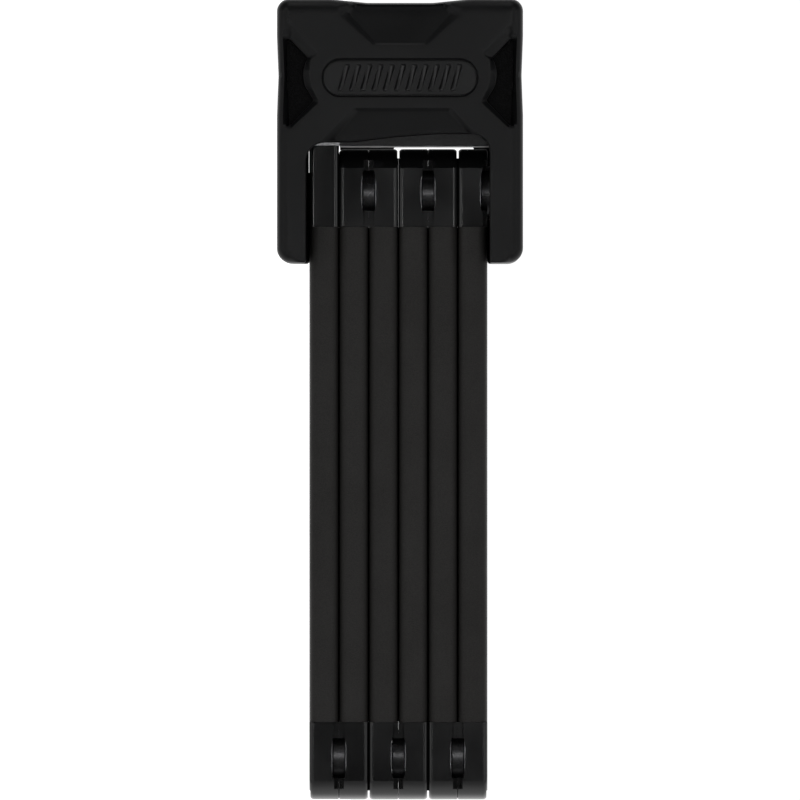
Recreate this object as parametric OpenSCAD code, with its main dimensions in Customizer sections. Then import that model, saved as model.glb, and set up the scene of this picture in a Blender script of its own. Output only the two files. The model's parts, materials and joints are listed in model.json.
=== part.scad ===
// Folding bike lock, lying on its latch side.
// +X runs along the bars from the head to the far ends, -Y is the relief face, +Z is up.
// Six flat links fold like a carpenter's rule between the two arms of the lock head.

/* [Links] */
// Distance between the two hinge axes of a link
span = 171; // [150:1:200]
// Distance from one link to the next across the pack
pitch = 9; // [8.9:0.1:9.2]
// Width of a covered link
link_w = 22; // [20:0.5:23]
// Radius of a link's covered end round its hinge axis
link_end_r = 13.2; // [12.6:0.1:13.4]
// Thickness of the steel bar inside a link
bar_t = 5; // [4.6:0.1:5.2]
// Thickness of the soft sleeve
sleeve_t = 8.8; // [8.4:0.1:8.8]
// Thickness of the glossy end caps
cap_t = 8.4; // [8.2:0.1:8.4]
// Distance from a hinge axis to the sleeve
sleeve_gap = 10.5; // [10:0.1:12]

/* [Head] */
// Width of the head across the two arms
head_w = 74.4; // [74:0.1:76]
// Depth of the head from relief face to back
head_d = 40; // [38:0.5:46]
// Height of the head above the near hinge axis
head_top = 58.3; // [57.8:0.1:60]
// Reach of the arms past the near hinge axis
arm_reach = 21.5; // [21:0.5:26]
// Thickness of the arm on the latch side
latch_arm_t = 8.8; // [8.6:0.1:9]
// Thickness of the arm that carries the first hinge
pivot_arm_t = 10.1; // [10.1:0.1:10.3]
// Height of the steel core's underside above the near hinge axis
core_low = 14; // [13.8:0.1:14.4]

/* [Lock] */
// Radius of the turning plug
plug_r = 6.4; // [6:0.1:6.4]
// Radius of the bolt
bolt_r = 3.5; // [3:0.1:3.5]
// Height of the bolt's axis above the near hinge axis
bolt_h = 20; // [19.8:0.1:20.2]
// Radius at which the crank pin turns
crank_r = 6; // [5.8:0.1:6]

/* [Hidden] */
$fn = 64;
LINKS = 6;

// Places along X. The object's length is centred on X = 0.
total_l = head_top + span + link_end_r;
near_x = head_top - total_l / 2;
far_x = near_x + span;

// Places along Z
mid_z = head_w / 2;
pivot_arm_z = head_w - pivot_arm_t;
function link_z(k) = pivot_arm_z - 5.1 - pitch * (k - 1);
function hinge_x(k) = k % 2 == 1 ? near_x : far_x;

// Running clearances and small sizes
run = 0.05;
rivet_r = 4;
rivet_head_r = 6.5;
rivet_head_t = 1.45;
washer_r = 8;
cap_wall = 1.2;
pad_r = 10.3;
pad_t = 0.2;
tongue_r = 27.5;
tongue_cap_h = 16;
bolt_hole_r = 3.7;
bolt_tip_z = 19;
pocket_z = [9.5, 18.9];
pocket_top = 28;
pocket_front_y = -11.3;

// Steel frame of the head
core_y = 15.5;
core_top = 54.3;
core_z = [7.4, pivot_arm_z + 1.4];
plate_w = 26;
latch_plate_z = [3, core_z[0]];
pivot_plate_z = [core_z[1], core_z[1] + 5];
barrel_r = 10;
barrel_low = 31;
room_z = [26, 50];
room_y = 8.5;
floor_t = 1.5;

black = [0.11, 0.11, 0.12];
matte = [0.18, 0.175, 0.17];
steel = [0.62, 0.63, 0.65];
dark_steel = [0.3, 0.3, 0.32];

// ---- helpers ----------------------------------------------------------------

// Box between two heights above the near hinge axis, two depths and two levels
module slab(h0, h1, y0, y1, z0, z1)
    translate([near_x - h1, y0, z0])
        cube([h1 - h0, y1 - y0, z1 - z0]);

// Rod along Z at a height above the near hinge axis
module rod_z(h, y, z0, z1, r)
    translate([near_x - h, y, z0])
        cylinder(h = z1 - z0, r = r);

// Rod along X between two heights, on the line y, z
module rod_x(h0, h1, y, z, r)
    translate([near_x - h1, y, z])
        rotate([0, 90, 0])
            cylinder(h = h1 - h0, r = r);

// Rod along Y between two depths
module rod_y(h, y0, y1, z, r)
    translate([near_x - h, y1, z])
        rotate([90, 0, 0])
            cylinder(h = y1 - y0, r = r);

// Rounded rectangle with its lowest corner at the origin
module round_rect(a, b, r) {
    translate([r, 0])
        square([a - 2 * r, b]);
    translate([0, r])
        square([a, b - 2 * r]);
    for (x = [r, a - r], y = [r, b - r])
        translate([x, y])
            circle(r);
}

// Oval of width a along X and length b along Y, with its lowest corner at the origin
module oval(a, b) {
    translate([0, a / 2])
        square([a, b - a]);
    for (y = [a / 2, b - a / 2])
        translate([a / 2, y])
            circle(a / 2);
}

// Solid between z0 and z1 from an outline in X and Y
module between(z0, z1)
    translate([0, 0, z0])
        linear_extrude(z1 - z0)
            children();

// ---- links --------------------------------------------------------------------

// Outline of a link in X and Y: straight sides, ends rounded about the hinge axes
module link_outline(w, end_r) {
    translate([near_x, -w / 2])
        square([span, w]);
    for (x = [near_x, far_x])
        intersection() {
            translate([x, 0])
                circle(end_r);
            translate([x - end_r, -w / 2])
                square([2 * end_r, w]);
        }
}

// Outline of the tongue that enters the head, rounded about the near hinge axis
module tongue_outline(w, end_r)
    intersection() {
        translate([near_x, 0])
            circle(end_r);
        translate([near_x - end_r, -w / 2])
            square([end_r + 1, w]);
    }

// Outline of the steel bar; the last link's reaches into the head
module bar_outline(k) {
    w = link_w - 2 * cap_wall;
    link_outline(w, link_end_r - cap_wall);
    if (k == LINKS)
        tongue_outline(w, tongue_r);
}

// Hardened steel bar with its rivet holes
module link_bar(k) {
    z = link_z(k);
    color(steel)
        difference() {
            between(z - bar_t / 2, z + bar_t / 2)
                bar_outline(k);
            translate([hinge_x(k), 0, z - bar_t])
                cylinder(h = 2 * bar_t, r = rivet_r + run);
            if (k < LINKS)
                translate([hinge_x(k + 1), 0, z - bar_t])
                    cylinder(h = 2 * bar_t, r = rivet_r);
            if (k == LINKS)
                rod_z(bolt_h, 0, z - bar_t, z + bar_t, bolt_hole_r);
        }
}

// Cross section of a covered link, extruded along X
module link_tube(x0, x1, z, t, r)
    translate([x0, -link_w / 2, z - t / 2])
        rotate([90, 0, 90])
            linear_extrude(x1 - x0)
                round_rect(link_w, t, r);

// Soft sleeve over the middle of the bar
module link_sleeve(k) {
    z = link_z(k);
    w = link_w - 2 * cap_wall;
    x0 = near_x + sleeve_gap;
    x1 = far_x - sleeve_gap;
    color(matte)
        difference() {
            link_tube(x0, x1, z, sleeve_t, 2.4);
            translate([x0 - 1, -w / 2, z - bar_t / 2])
                cube([x1 - x0 + 2, w, bar_t]);
        }
}

// Outer form of the two end caps of a link
module cap_form(k) {
    z = link_z(k);
    near_end = k == LINKS ? tongue_cap_h : link_end_r;
    intersection() {
        union() {
            link_tube(near_x - near_end, near_x + sleeve_gap, z, cap_t, 1.3);
            link_tube(far_x - sleeve_gap, far_x + link_end_r, z, cap_t, 1.3);
        }
        between(z - cap_t / 2, z + cap_t / 2)
            union() {
                link_outline(link_w, link_end_r);
                if (k == LINKS)
                    translate([near_x - tongue_cap_h, -link_w / 2])
                        square([tongue_cap_h, link_w]);
            }
    }
}

// Dish that clears the spacer on a riveted face; up is 1 above the bar, -1 below it
module spacer_dish(x, z, up)
    translate([x, 0, z])
        mirror([0, 0, up > 0 ? 0 : 1])
            translate([0, 0, bar_t / 2])
                cylinder(h = 2, r1 = 11, r2 = 13.6);

// Bore for a rivet head through the face of a cap
module head_bore(x, z, up)
    translate([x, 0, z])
        mirror([0, 0, up > 0 ? 0 : 1])
            translate([0, 0, bar_t / 2])
                cylinder(h = 4, r = rivet_head_r + 0.3);

// Low pad round a rivet head that keeps two links apart
module head_pad(x, z, up)
    translate([x, 0, z])
        mirror([0, 0, up > 0 ? 0 : 1])
            translate([0, 0, cap_t / 2 - 0.5])
                cylinder(h = 0.5 + pad_t, r = pad_r);

// Glossy moulded caps on both ends of a link
module link_end_caps(k) {
    z = link_z(k);
    up_x = hinge_x(k);
    down_x = hinge_x(k + 1);
    color(black)
        difference() {
            union() {
                cap_form(k);
                head_pad(up_x, z, -1);
                if (k < LINKS)
                    head_pad(down_x, z, 1);
            }
            between(z - bar_t / 2, z + bar_t / 2)
                bar_outline(k);
            spacer_dish(up_x, z, 1);
            head_bore(up_x, z, -1);
            if (k < LINKS) {
                spacer_dish(down_x, z, -1);
                head_bore(down_x, z, 1);
            }
        }
}

// Rivet of hinge k, fixed in the piece before link k and free in link k
module rivet(k) {
    x = hinge_x(k);
    low = link_z(k) - bar_t / 2 - run;
    high = k == 1 ? pivot_plate_z[1] : link_z(k - 1) + bar_t / 2;
    color(steel)
        translate([x, 0, 0]) {
            translate([0, 0, low - rivet_head_t])
                cylinder(h = high - low + 2 * rivet_head_t, r = rivet_r);
            translate([0, 0, low - rivet_head_t])
                cylinder(h = rivet_head_t, r = rivet_head_r);
            translate([0, 0, high])
                cylinder(h = rivet_head_t, r = rivet_head_r);
        }
}

// Spacer washer of hinge k
module washer(k) {
    low = link_z(k) + bar_t / 2 + run;
    high = k == 1 ? pivot_plate_z[0] : link_z(k - 1) - bar_t / 2;
    color(steel)
        translate([hinge_x(k), 0, low])
            difference() {
                cylinder(h = high - low, r = washer_r);
                translate([0, 0, -1])
                    cylinder(h = high - low + 2, r = rivet_r);
            }
}

// ---- steel parts of the head ----------------------------------------------------

plate_screw_h = [48, 34];
plate_screw_y = 9;
plate_screw_len = [19, 10];
screw_r = 2;
screw_head_r = 3.6;
screw_head_t = 1.8;
floor_screw_z = [30, 46];
floor_screw_y = 10.8;

// Shank and countersunk head of a side plate screw, entering from z towards the core
module plate_screw(h, y, z, inward, len)
    translate([near_x - h, y, z])
        mirror([0, 0, inward > 0 ? 0 : 1]) {
            cylinder(h = len, r = screw_r);
            cylinder(h = screw_head_t, r1 = screw_head_r, r2 = screw_r);
        }

// The four screws of the latch plate and the four of the pivot plate
module plate_screw_set()
    for (h = plate_screw_h, y = [-plate_screw_y, plate_screw_y]) {
        plate_screw(h, y, latch_plate_z[0], 1, plate_screw_len[0]);
        plate_screw(h, y, pivot_plate_z[1], -1, plate_screw_len[1]);
    }

// Screws of the mechanism floor, with flush countersunk heads
module floor_screw_set()
    for (z = floor_screw_z, y = [-floor_screw_y, floor_screw_y])
        translate([near_x - core_low, y, z])
            rotate([0, -90, 0]) {
                cylinder(h = 7, r = 1.2);
                cylinder(h = 1, r1 = 2.2, r2 = 1.2);
            }

// Steel floor under the mechanism room
module mechanism_floor()
    slab(core_low, core_low + floor_t, -13, 13, 24.5, 56);

// Main block with the cylinder bore and the mechanism room, beside the tongue pocket
module core_block()
    color(dark_steel)
        difference() {
            slab(core_low, core_top, -core_y, core_y, pocket_z[1], core_z[1]);
            slab(core_low + floor_t, barrel_low + 1, -room_y, room_y, room_z[0], room_z[1]);
            rod_x(barrel_low, core_top + 1, 0, mid_z, barrel_r);
            rod_z(bolt_h, 0, pocket_z[1] - 1, room_z[0] + 1, bush_r);
            barrel_pin_rod();
            mechanism_floor();
            floor_screw_set();
            plate_screw_set();
            cover_screw_set();
        }

// Angled guide that walls the tongue pocket on the latch side and at the front
module tongue_guide()
    color(steel)
        difference() {
            union() {
                slab(core_low, core_top, -core_y, core_y, core_z[0], pocket_z[0]);
                slab(core_low, pocket_top, -core_y, pocket_front_y, pocket_z[0], pocket_z[1]);
            }
            plate_screw_set();
        }

// Solid block that closes the tongue pocket towards the keyhole end
module strike_block()
    color(dark_steel)
        difference() {
            slab(pocket_top, core_top, -core_y, core_y, pocket_z[0], pocket_z[1]);
            plate_screw_set();
        }

// Plate in an arm, with a round end
module arm_plate(z0, z1) {
    round_h = -4.5;
    slab(round_h, core_top, -plate_w / 2, plate_w / 2, z0, z1);
    rod_z(round_h, 0, z0, z1, plate_w / 2);
}

module side_plate_pivot()
    color(steel)
        difference() {
            arm_plate(pivot_plate_z[0], pivot_plate_z[1]);
            rod_z(0, 0, pivot_plate_z[0] - 1, pivot_plate_z[1] + 1, rivet_r);
            plate_screw_set();
        }

module side_plate_latch()
    color(steel)
        difference() {
            arm_plate(latch_plate_z[0], latch_plate_z[1]);
            plate_screw_set();
        }

module side_plate_screws()
    color(steel)
        plate_screw_set();

module mechanism_plate()
    color(dark_steel)
        difference() {
            mechanism_floor();
            floor_screw_set();
        }

module mechanism_screws()
    color(steel)
        floor_screw_set();

// ---- cylinder, crank and bolt ------------------------------------------------------

bush_r = 4.4;
plug_top = 52.2;
disc_bore_r = 5;
disc_low = 36;
disc_count = 7;
disc_pitch = 2.2;
disc_t = 1.9;
keyway_w = 2;
keyway_l = 7;
crank_top = 30.7;
crank_disc_r = 8;
crank_disc_low = 27.5;
crank_pin_r = 1.5;
crank_pin_low = 21.5;
slot_play = 0.35;
pin_y = crank_r * cos(45);
pin_z = mid_z + crank_r * sin(45);
yoke_z = [34.8, 46.5];
yoke_h = [16, 25];
yoke_y = [-4.5, 8.2];
seal_r = 6;
seal_hole_r = 4.5;

// Cross pin beside the plug that keeps the barrel in the core
module barrel_pin_rod()
    rod_y(45, -core_y, core_y, mid_z + 8.2, 1.4);

// Keyway slot between two heights
module keyway(h0, h1)
    slab(h0, h1, -keyway_l / 2, keyway_l / 2, mid_z - keyway_w / 2, mid_z + keyway_w / 2);

// Seat of the sidebar in the plug wall
module sidebar_bar(h0, h1)
    slab(h0, h1, disc_bore_r + 0.1, plug_r - 0.1, mid_z - 0.9, mid_z + 0.9);

module cylinder_barrel()
    color("goldenrod")
        difference() {
            rod_x(barrel_low, core_top, 0, mid_z, barrel_r);
            rod_x(barrel_low - 1, core_top + 1, 0, mid_z, plug_r + run);
            barrel_pin_rod();
        }

module barrel_pin()
    color(steel)
        barrel_pin_rod();

module cylinder_plug()
    color("gold")
        difference() {
            rod_x(barrel_low, plug_top, 0, mid_z, plug_r);
            rod_x(disc_low, plug_top + 1, 0, mid_z, disc_bore_r);
            slab(disc_low, plug_top + 1, 0, plug_r + 1, mid_z - 0.9, mid_z + 0.9);
        }

module detainer_discs()
    color(steel)
        for (i = [0:disc_count - 1])
            difference() {
                rod_x(disc_low + i * disc_pitch, disc_low + i * disc_pitch + disc_t,
                    0, mid_z, disc_bore_r - run);
                keyway(disc_low - 1, plug_top);
            }

module sidebar()
    color("gold")
        sidebar_bar(disc_low, plug_top);

module drill_disc()
    color(dark_steel)
        difference() {
            rod_x(plug_top, core_top - 0.1, 0, mid_z, plug_r);
            keyway(plug_top - 1, core_top + 1);
        }

module tail_crank()
    color(steel)
        union() {
            rod_x(crank_top - 0.1, barrel_low, 0, mid_z, 5);
            rod_x(crank_disc_low, crank_top, 0, mid_z, crank_disc_r);
            rod_x(crank_pin_low, crank_disc_low + 1, pin_y, pin_z, crank_pin_r);
        }

module lock_bolt()
    color(steel)
        rod_z(bolt_h, 0, bolt_tip_z, yoke_z[0] + 3.2, bolt_r);

module bolt_yoke()
    color(dark_steel)
        difference() {
            slab(yoke_h[0], yoke_h[1], yoke_y[0], yoke_y[1], yoke_z[0], yoke_z[1]);
            rod_z(bolt_h, 0, yoke_z[0] - 1, yoke_z[0] + 3.2, bolt_r);
            slab(yoke_h[0] - 1, yoke_h[1] + 1, pin_y - crank_pin_r - slot_play, yoke_y[1] + 1,
                pin_z - crank_pin_r - slot_play, pin_z + crank_pin_r + slot_play);
        }

module bolt_bush()
    color("goldenrod")
        difference() {
            rod_z(bolt_h, 0, pocket_z[1], room_z[0], bush_r);
            rod_z(bolt_h, 0, pocket_z[1] - 1, room_z[0] + 1, bolt_r + run);
        }

// ---- head covers ---------------------------------------------------------------------

corner_r = 4;
arm_end_r = 14;
gap_corner_r = 5.6;
lip_latch = 14.9;
lip_pivot = 17.8;
dip = 1.2;
dip_z = [28, 46];
badge_l = 47.6;
badge_w = 12;
badge_h = 34.4;
badge_depth = 0.9;
recess = 1.2;
insert_t = 1.5;
shutter_y = 6.9;
shutter_len = 11;
shutter_z = mid_z - shutter_len / 2;
shutter_travel = 9.5;
track_low = 55.6;
track_z = [shutter_z - 0.4, shutter_z + shutter_len + shutter_travel + 0.4];

// Side view of the head in X and Y: small corners on top, round arm ends
module head_side() {
    l = head_top + arm_reach;
    w = head_d;
    translate([near_x - head_top, -w / 2]) {
        translate([corner_r, 0])
            square([l - corner_r - arm_end_r, w]);
        translate([0, corner_r])
            square([corner_r + 1, w - 2 * corner_r]);
        translate([l - arm_end_r - 1, arm_end_r])
            square([arm_end_r + 1, w - 2 * arm_end_r]);
        for (y = [corner_r, w - corner_r])
            translate([corner_r, y])
                circle(corner_r);
        for (y = [arm_end_r, w - arm_end_r])
            translate([l - arm_end_r, y])
                circle(arm_end_r);
    }
}

// Room between the arms in X and Z, with a lip that climbs towards the pivot arm
module gap_outline() {
    translate([near_x - lip_latch, latch_arm_t])
        round_rect(lip_latch + arm_reach + 20, pivot_arm_z - latch_arm_t, gap_corner_r);
    polygon([
        [near_x - lip_latch, latch_arm_t + gap_corner_r],
        [near_x - lip_pivot, pivot_arm_z - gap_corner_r],
        [near_x - lip_latch, pivot_arm_z - gap_corner_r]
    ]);
    translate([near_x - lip_pivot, pivot_arm_z - 3 * gap_corner_r])
        round_rect(30, 3 * gap_corner_r, gap_corner_r);
}

// Shallow hollow in the top, in X and Z
module dip_outline()
    polygon([
        [near_x - head_top - 1, dip_z[0] - 9],
        [near_x - head_top, dip_z[0] - 9],
        [near_x - head_top + dip, dip_z[0]],
        [near_x - head_top + dip, dip_z[1]],
        [near_x - head_top, dip_z[1] + 9],
        [near_x - head_top - 1, dip_z[1] + 9]
    ]);

// Solid from an outline in X and Z between two depths
module in_depth(y0, y1)
    translate([0, y1, 0])
        rotate([90, 0, 0])
            linear_extrude(y1 - y0)
                children();

// Whole outer form of the head
module head_form()
    difference() {
        intersection() {
            in_depth(-head_d / 2, head_d / 2)
                translate([near_x - head_top, 0])
                    round_rect(head_top + arm_reach, head_w, corner_r);
            between(0, head_w)
                head_side();
            translate([near_x - head_top, -head_d / 2, 0])
                rotate([90, 0, 90])
                    linear_extrude(head_top + arm_reach)
                        round_rect(head_d, head_w, corner_r);
        }
        in_depth(-head_d, head_d)
            gap_outline();
        in_depth(-head_d, head_d)
            dip_outline();
    }

// Rooms in the covers for the steel frame, the first rivet and the keyhole
module head_rooms() {
    slab(core_low - 8, core_top, -core_y, core_y, core_z[0], core_z[1]);
    arm_plate(latch_plate_z[0], latch_plate_z[1]);
    arm_plate(pivot_plate_z[0], pivot_plate_z[1]);
    rod_z(0, 0, pivot_arm_z - 1, pivot_plate_z[1] + rivet_head_t, washer_r + 0.3);
    rod_x(core_top - 1, track_low + 1, 0, mid_z, seal_r);
    shutter_track();
}

// Track of the shutter: a wide floor under two guide lips
module shutter_track() {
    slab(track_low, track_low + 0.9, -shutter_y - 0.1, shutter_y + 0.1, track_z[0], track_z[1]);
    slab(track_low, head_top + 1, -shutter_y + 1.3, shutter_y - 1.3, track_z[0], track_z[1]);
}

// Way for the tongue through the back of the head
module tongue_way()
    slab(core_low - 8, pocket_top + 0.4, 0, head_d, pocket_z[0] - 0.4, pocket_z[1] + 0.4);

// Window of the relief face in X and Z, on the latch side
module window_outline()
    polygon([
        [near_x - 46, 2.9],
        [near_x - 39.9, 10.2],
        [near_x - 36.5, 8.9],
        [near_x - 32.5, 8.9],
        [near_x - 27.4, 11],
        [near_x - 19.5, 3.6]
    ]);

// The same shape mirrored across the head
module both_sides() {
    children();
    translate([0, 0, head_w])
        mirror([0, 0, 1])
            children();
}

// Hollows of the relief face
module relief() {
    both_sides()
        in_depth(-head_d, -core_y)
            window_outline();
    in_depth(-head_d, -head_d / 2 + badge_depth)
        translate([near_x - badge_h - badge_w / 2, mid_z - badge_l / 2])
            oval(badge_w, badge_l);
    in_depth(-head_d, -head_d / 2 + recess)
        polygon([
            [near_x - 55, mid_z - 17.2],
            [near_x - 44.5, mid_z - 7],
            [near_x - 44.5, mid_z + 7],
            [near_x - 55, mid_z + 17.2]
        ]);
}

// Screws through the back cover
module cover_screw_set()
    for (h = [50, 31], z = [24, head_w - 18])
        translate([near_x - h, head_d / 2 - 1, z])
            rotate([90, 0, 0]) {
                cylinder(h = 12, r = 1.5);
                cylinder(h = 1.6, r = 3);
            }

// Ways for the screws and their heads, open to the back
module cover_screw_ways()
    for (h = [50, 31], z = [24, head_w - 18])
        rod_y(h, head_d / 2 - 2.6, head_d, z, 3);

module cover_front()
    color(black)
        difference() {
            intersection() {
                head_form();
                slab(-head_d * 2, head_d * 2, -head_d, 0, -1, head_w + 1);
            }
            head_rooms();
            relief();
        }

module cover_rear()
    color(black)
        difference() {
            intersection() {
                head_form();
                slab(-head_d * 2, head_d * 2, 0, head_d, -1, head_w + 1);
            }
            head_rooms();
            tongue_way();
            cover_screw_ways();
            cover_screw_set();
        }

module cover_screws()
    color(steel)
        cover_screw_set();

// Oval plate in the badge hollow, with plain upright ribs
module badge_plate() {
    base_t = 0.4;
    color(matte) {
        in_depth(-head_d / 2 + badge_depth - base_t, -head_d / 2 + badge_depth)
            translate([near_x - badge_h - badge_w / 2, mid_z - badge_l / 2])
                oval(badge_w, badge_l);
        for (i = [-5:5])
            slab(badge_h - 4.2, badge_h + 4.2, -head_d / 2 + 0.1, -head_d / 2 + badge_depth - base_t / 2,
                mid_z + i * 3.5 - 0.8, mid_z + i * 3.5 + 0.8);
    }
}

module grip_insert_latch()
    color(matte)
        in_depth(-core_y - insert_t, -core_y)
            window_outline();

module grip_insert_pivot()
    color(matte)
        translate([0, 0, head_w])
            mirror([0, 0, 1])
                in_depth(-core_y - insert_t, -core_y)
                    window_outline();

module keyway_seal()
    color(black)
        difference() {
            rod_x(core_top, track_low, 0, mid_z, seal_r);
            rod_x(core_top - 1, track_low + 1, 0, mid_z, seal_hole_r);
        }

// Dust cover with guide flanges and thumb ribs
module keyhole_shutter()
    color(matte)
        union() {
            slab(track_low + 0.1, track_low + 0.8, -shutter_y, shutter_y,
                shutter_z, shutter_z + shutter_len);
            slab(track_low + 0.1, track_low + 1.3, -shutter_y + 1.5, shutter_y - 1.5,
                shutter_z, shutter_z + shutter_len);
            for (i = [0:3])
                slab(track_low + 1, track_low + 1.8, -3.5, 3.5,
                    shutter_z + 1.5 + i * 2.3, shutter_z + 2.5 + i * 2.3);
        }

// ---- output ----------------------------------------------------------------------------

core_block();
tongue_guide();
strike_block();
side_plate_pivot();
side_plate_latch();
side_plate_screws();
mechanism_plate();
mechanism_screws();
cylinder_barrel();
barrel_pin();
bolt_bush();
cover_front();
cover_rear();
cover_screws();
badge_plate();
grip_insert_latch();
grip_insert_pivot();
keyway_seal();
keyhole_shutter();
cylinder_plug();
drill_disc();
detainer_discs();
sidebar();
tail_crank();
lock_bolt();
bolt_yoke();
for (k = [1:LINKS]) {
    rivet(k);
    washer(k);
    link_bar(k);
    link_sleeve(k);
    link_end_caps(k);
}
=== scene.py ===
"""Folding bike lock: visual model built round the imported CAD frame.

Sizes are in millimetres and become metres when a mesh is made. Outlines of the head
are drawn in (h, s): h is the height above the near hinge axis towards the head's top,
and s is the place across the head from its middle, positive towards the pivot arm.
"""
import json
import math

import bmesh
import bpy
import numpy as np
from mathutils import Matrix, Vector
from mathutils.geometry import delaunay_2d_cdt


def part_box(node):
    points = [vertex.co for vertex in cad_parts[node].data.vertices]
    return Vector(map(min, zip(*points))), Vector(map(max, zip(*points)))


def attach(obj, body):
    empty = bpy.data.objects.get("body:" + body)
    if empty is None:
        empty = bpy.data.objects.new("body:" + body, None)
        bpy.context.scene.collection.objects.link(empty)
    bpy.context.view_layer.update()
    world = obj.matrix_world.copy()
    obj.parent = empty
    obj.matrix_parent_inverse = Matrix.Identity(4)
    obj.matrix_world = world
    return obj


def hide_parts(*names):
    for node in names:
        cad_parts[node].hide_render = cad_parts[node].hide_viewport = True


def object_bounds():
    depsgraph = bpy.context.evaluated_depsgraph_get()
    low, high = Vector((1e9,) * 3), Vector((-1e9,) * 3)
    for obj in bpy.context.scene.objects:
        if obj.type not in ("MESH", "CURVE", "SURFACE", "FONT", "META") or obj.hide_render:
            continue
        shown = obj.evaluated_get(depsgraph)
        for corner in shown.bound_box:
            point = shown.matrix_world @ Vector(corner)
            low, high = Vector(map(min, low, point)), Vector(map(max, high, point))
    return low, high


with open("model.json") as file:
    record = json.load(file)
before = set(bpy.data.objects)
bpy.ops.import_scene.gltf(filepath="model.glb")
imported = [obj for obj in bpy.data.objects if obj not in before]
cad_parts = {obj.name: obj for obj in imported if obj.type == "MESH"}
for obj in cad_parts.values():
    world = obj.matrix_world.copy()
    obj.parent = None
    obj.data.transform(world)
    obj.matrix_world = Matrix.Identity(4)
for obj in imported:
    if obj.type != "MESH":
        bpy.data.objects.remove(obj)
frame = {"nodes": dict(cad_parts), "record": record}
CAD_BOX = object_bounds()

MM = 0.001
LINKS = range(1, 7)


def cad_box(node):
    """Lowest and highest corner of a CAD node in millimetres."""
    low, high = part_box(node)
    return np.array(low) / MM, np.array(high) / MM


def joint_x(name):
    """Place of a hinge along the links."""
    return next(j["pos_m"][0] for j in frame["record"]["behaviour"]["joints"] if j["name"] == name) / MM


NEAR_X = joint_x("hinge_1")
FAR_X = joint_x("hinge_2")
HEAD_LOW, HEAD_HIGH = cad_box("cover_front")
HEAD_TOP = NEAR_X - HEAD_LOW[0]
ARM_REACH = HEAD_HIGH[0] - NEAR_X
HALF_W = (HEAD_HIGH[2] - HEAD_LOW[2]) / 2
MID_Z = (HEAD_HIGH[2] + HEAD_LOW[2]) / 2
HALF_D = -HEAD_LOW[1]
CORE_LOW, CORE_HIGH = cad_box("core_block")
CORE_TOP = NEAR_X - CORE_LOW[0]
CORE_UNDER = NEAR_X - CORE_HIGH[0]
CORE_Y = CORE_HIGH[1]


# ---- mesh helpers -------------------------------------------------------------

def head_point(h, s, y):
    """Row-frame point, in metres, of a place on the head."""
    return (NEAR_X - h) * MM, y * MM, (MID_Z + s) * MM


def make_object(name, verts, faces, material, sharp=32):
    """Mesh object from points in metres, smooth up to the sharp angle in degrees."""
    mesh = bpy.data.meshes.new(name)
    mesh.from_pydata([tuple(v) for v in verts], [], faces)
    obj = bpy.data.objects.new(name, mesh)
    bpy.context.scene.collection.objects.link(obj)
    tidy_mesh(obj, sharp)
    mesh.materials.clear()
    mesh.materials.append(material)
    return obj


def tidy_mesh(obj, sharp):
    """Joins doubled points, turns faces outwards and sets smooth shading."""
    bm = bmesh.new()
    bm.from_mesh(obj.data)
    bmesh.ops.remove_doubles(bm, verts=bm.verts, dist=1e-6)
    bmesh.ops.dissolve_degenerate(bm, edges=bm.edges, dist=1e-7)
    bmesh.ops.recalc_face_normals(bm, faces=bm.faces)
    bm.to_mesh(obj.data)
    bm.free()
    obj.data.shade_smooth()
    obj.data.set_sharp_from_angle(angle=math.radians(sharp))


def place(obj, body, slot, *nodes):
    """Rides a piece on its body and hides the CAD nodes it stands for."""
    obj.modifiers.new("flat_faces", "WEIGHTED_NORMAL").keep_sharp = True
    apply_modifiers(obj)
    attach(obj, body)
    if nodes:
        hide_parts(*nodes)
    return obj


def apply_modifiers(obj):
    """Turns the modifiers into plain mesh."""
    graph = bpy.context.evaluated_depsgraph_get()
    mesh = bpy.data.meshes.new_from_object(obj.evaluated_get(graph))
    obj.modifiers.clear()
    obj.data = mesh


def boolean(obj, cutters, operation="DIFFERENCE", sharp=32):
    """Cuts or joins with other objects, which are then removed."""
    for cutter in cutters:
        mod = obj.modifiers.new("cut", "BOOLEAN")
        mod.operation = operation
        mod.solver = "EXACT"
        mod.object = cutter
    apply_modifiers(obj)
    for cutter in cutters:
        bpy.data.objects.remove(cutter)
    tidy_mesh(obj, sharp)
    return obj


def add_bevel(obj, width, segments=3, angle=35):
    """Rounds the edges that are sharper than an angle."""
    mod = obj.modifiers.new("edges", "BEVEL")
    mod.width = width * MM
    mod.segments = segments
    mod.limit_method = "ANGLE"
    mod.angle_limit = math.radians(angle)
    mod.harden_normals = False
    apply_modifiers(obj)
    tidy_mesh(obj, 40)
    return obj


def box_solid(name, low, high, material):
    """Box between two corners in millimetres."""
    x0, y0, z0 = (v * MM for v in low)
    x1, y1, z1 = (v * MM for v in high)
    verts = [(x, y, z) for x in (x0, x1) for y in (y0, y1) for z in (z0, z1)]
    faces = [(0, 1, 3, 2), (4, 6, 7, 5), (0, 4, 5, 1), (2, 3, 7, 6), (0, 2, 6, 4), (1, 5, 7, 3)]
    return make_object(name, verts, faces, material)


def head_box(name, h0, h1, y0, y1, z0, z1, material):
    """Box between two heights, depths and levels of the head."""
    return box_solid(name, (NEAR_X - h1, y0, z0), (NEAR_X - h0, y1, z1), material)


def stack(loops):
    """Points and faces of a skin over loops of equal length, with flat ends."""
    n = len(loops[0])
    verts = [p for loop in loops for p in loop]
    faces = []
    for k in range(len(loops) - 1):
        for i in range(n):
            j = (i + 1) % n
            faces.append((k * n + i, k * n + j, (k + 1) * n + j, (k + 1) * n + i))
    faces.append(tuple(range(n))[::-1])
    faces.append(tuple(range((len(loops) - 1) * n, len(loops) * n)))
    return verts, faces


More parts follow.
